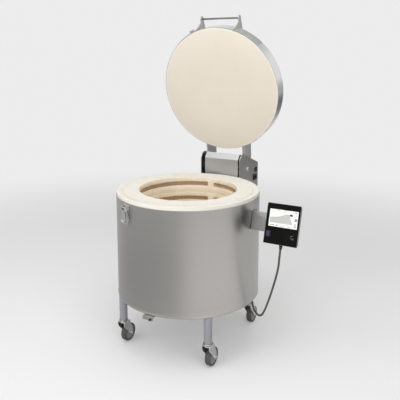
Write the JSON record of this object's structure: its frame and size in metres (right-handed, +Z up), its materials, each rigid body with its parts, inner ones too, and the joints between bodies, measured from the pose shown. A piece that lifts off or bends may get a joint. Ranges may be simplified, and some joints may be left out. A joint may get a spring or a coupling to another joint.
{
  "type": "top-loading kiln",
  "caption": "Round electric top-loading kiln with brick-lined chamber, hinged disc lid held open, side controller on a tilted holder and legs on swivel casters",
  "frame": {"origin": "on the floor under the kiln's vertical axis", "axes": "+Z up, front (lid handle side) faces -Y, lid hinge at +Y, controller at +X"},
  "size_m": [0.8041, 0.8458, 1.3839],
  "materials": {
    "stainless_sheet": "brushed sheet",
    "light_cover": "smooth light grey",
    "insulating_fibre": "matt fibre board",
    "insulating_brick": null,
    "element_wire": "oxidised wire",
    "ceramic": "unglazed ceramic",
    "aluminium": "satin",
    "steel_parts": "satin",
    "bearing_bronze": "turned",
    "black_plastic": "matt",
    "case_plastic": "fine grain",
    "panel": "satin film",
    "display": "glossy",
    "cable_sheath": "matt",
    "zinc_steel": "zinc plated",
    "caster_tread": "matt grey"
  },
  "bodies": {
    "kiln": {"casing": "stainless_sheet", "base_plate": "stainless_sheet", "floor_insulation": "insulating_fibre", "hearth_bricks": "insulating_brick", "backup_insulation": "insulating_fibre", "brick_course_1": "insulating_brick", "brick_course_2": "insulating_brick", "brick_course_3": "insulating_brick", "brick_course_4": "insulating_brick", "brick_course_5": "insulating_brick", "heating_coils": "element_wire", "lead_sleeves": "ceramic", "thermocouple": "ceramic", "power_relay": "aluminium", "hinge_plate_left": "stainless_sheet", "hinge_plate_right": "stainless_sheet", "hinge_cover": "light_cover", "rear_cover": "stainless_sheet", "housing_floor": "stainless_sheet", "hinge_frame": "steel_parts", "hinge_shaft": "steel_parts", "hinge_springs": "steel_parts", "switch_frame": "black_plastic", "controller_socket": "black_plastic", "mains_gland": "black_plastic", "latch_base": "stainless_sheet", "controller_holder": "stainless_sheet", "controller_back": "case_plastic", "controller_front": "panel", "controller_screen": "display", "controller_cable": "cable_sheath", "cable_glands": "black_plastic", "air_guides": "stainless_sheet", "leg_front_left": "steel_parts", "leg_front_right": "steel_parts", "leg_rear_left": "steel_parts", "leg_rear_right": "steel_parts"},
    "lid": {"lid_bricks": "insulating_brick", "lid_band": "stainless_sheet", "lid_cover": "stainless_sheet", "lid_rail_left": "stainless_sheet", "lid_rail_right": "stainless_sheet", "handle_rod": "steel_parts", "lid_keeper": "stainless_sheet", "hinge_bushes": "bearing_bronze"},
    "lever": {"latch_lever": "stainless_sheet"},
    "bail": {"latch_bail": "steel_parts"},
    "rocker": {"mains_rocker": "black_plastic"},
    "air_slide": {"air_slide": "stainless_sheet"},
    "flap": {"data_port_flap": "case_plastic"},
    "fork_front_left": {"caster_fork_front_left": "zinc_steel"},
    "wheel_front_left": {"caster_wheel_front_left": "caster_tread"},
    "fork_front_right": {"caster_fork_front_right": "zinc_steel"},
    "wheel_front_right": {"caster_wheel_front_right": "caster_tread"},
    "fork_rear_left": {"caster_fork_rear_left": "zinc_steel"},
    "wheel_rear_left": {"caster_wheel_rear_left": "caster_tread"},
    "fork_rear_right": {"caster_fork_rear_right": "zinc_steel"},
    "wheel_rear_right": {"caster_wheel_rear_right": "caster_tread"}
  },
  "joints": [
    {"name": "lid_hinge", "type": "hinge", "parent": "kiln", "child": "lid", "pos_m": [0, 0.38795, 0.675], "axis": [1, 0, 0], "range_deg": [0, 78]},
    {"name": "latch_lever_turn", "type": "hinge", "parent": "kiln", "child": "lever", "pos_m": [-0.12111, -0.28531, 0.623], "axis": [-0.9205, 0.3907, 0], "range_deg": [0, 150]},
    {"name": "latch_bail_turn", "type": "hinge", "parent": "lever", "child": "bail", "pos_m": [-0.12111, -0.28531, 0.611], "axis": [-0.9205, 0.3907, 0], "range_deg": [0, 30]},
    {"name": "mains_rocker_turn", "type": "hinge", "parent": "kiln", "child": "rocker", "pos_m": [0.098, 0.49395, 0.653], "axis": [0, 1, 0], "range_deg": [0, 18]},
    {"name": "air_slide_pull", "type": "slide", "parent": "kiln", "child": "air_slide", "axis": [0, -1, 0], "range_m": [0, 0.06]},
    {"name": "port_flap_turn", "type": "hinge", "parent": "kiln", "child": "flap", "pos_m": [0.37795, -0.06048, 0.53683], "axis": [0, -0.309, -0.9511], "range_deg": [0, 85]},
    {"name": "swivel_front_left", "type": "hinge", "parent": "kiln", "child": "fork_front_left", "pos_m": [-0.20078, -0.20078, 0.1], "axis": [0, 0, 1], "continuous": true},
    {"name": "wheel_spin_front_left", "type": "hinge", "parent": "fork_front_left", "child": "wheel_front_left", "pos_m": [-0.20078, -0.17078, 0.0375], "axis": [1, 0, 0], "continuous": true},
    {"name": "swivel_front_right", "type": "hinge", "parent": "kiln", "child": "fork_front_right", "pos_m": [0.20078, -0.20078, 0.1], "axis": [0, 0, 1], "continuous": true},
    {"name": "wheel_spin_front_right", "type": "hinge", "parent": "fork_front_right", "child": "wheel_front_right", "pos_m": [0.20078, -0.17078, 0.0375], "axis": [1, 0, 0], "continuous": true},
    {"name": "swivel_rear_left", "type": "hinge", "parent": "kiln", "child": "fork_rear_left", "pos_m": [-0.20078, 0.20078, 0.1], "axis": [0, 0, 1], "continuous": true},
    {"name": "wheel_spin_rear_left", "type": "hinge", "parent": "fork_rear_left", "child": "wheel_rear_left", "pos_m": [-0.20078, 0.23078, 0.0375], "axis": [1, 0, 0], "continuous": true},
    {"name": "swivel_rear_right", "type": "hinge", "parent": "kiln", "child": "fork_rear_right", "pos_m": [0.20078, 0.20078, 0.1], "axis": [0, 0, 1], "continuous": true},
    {"name": "wheel_spin_rear_right", "type": "hinge", "parent": "fork_rear_right", "child": "wheel_rear_right", "pos_m": [0.20078, 0.23078, 0.0375], "axis": [1, 0, 0], "continuous": true}
  ]
}
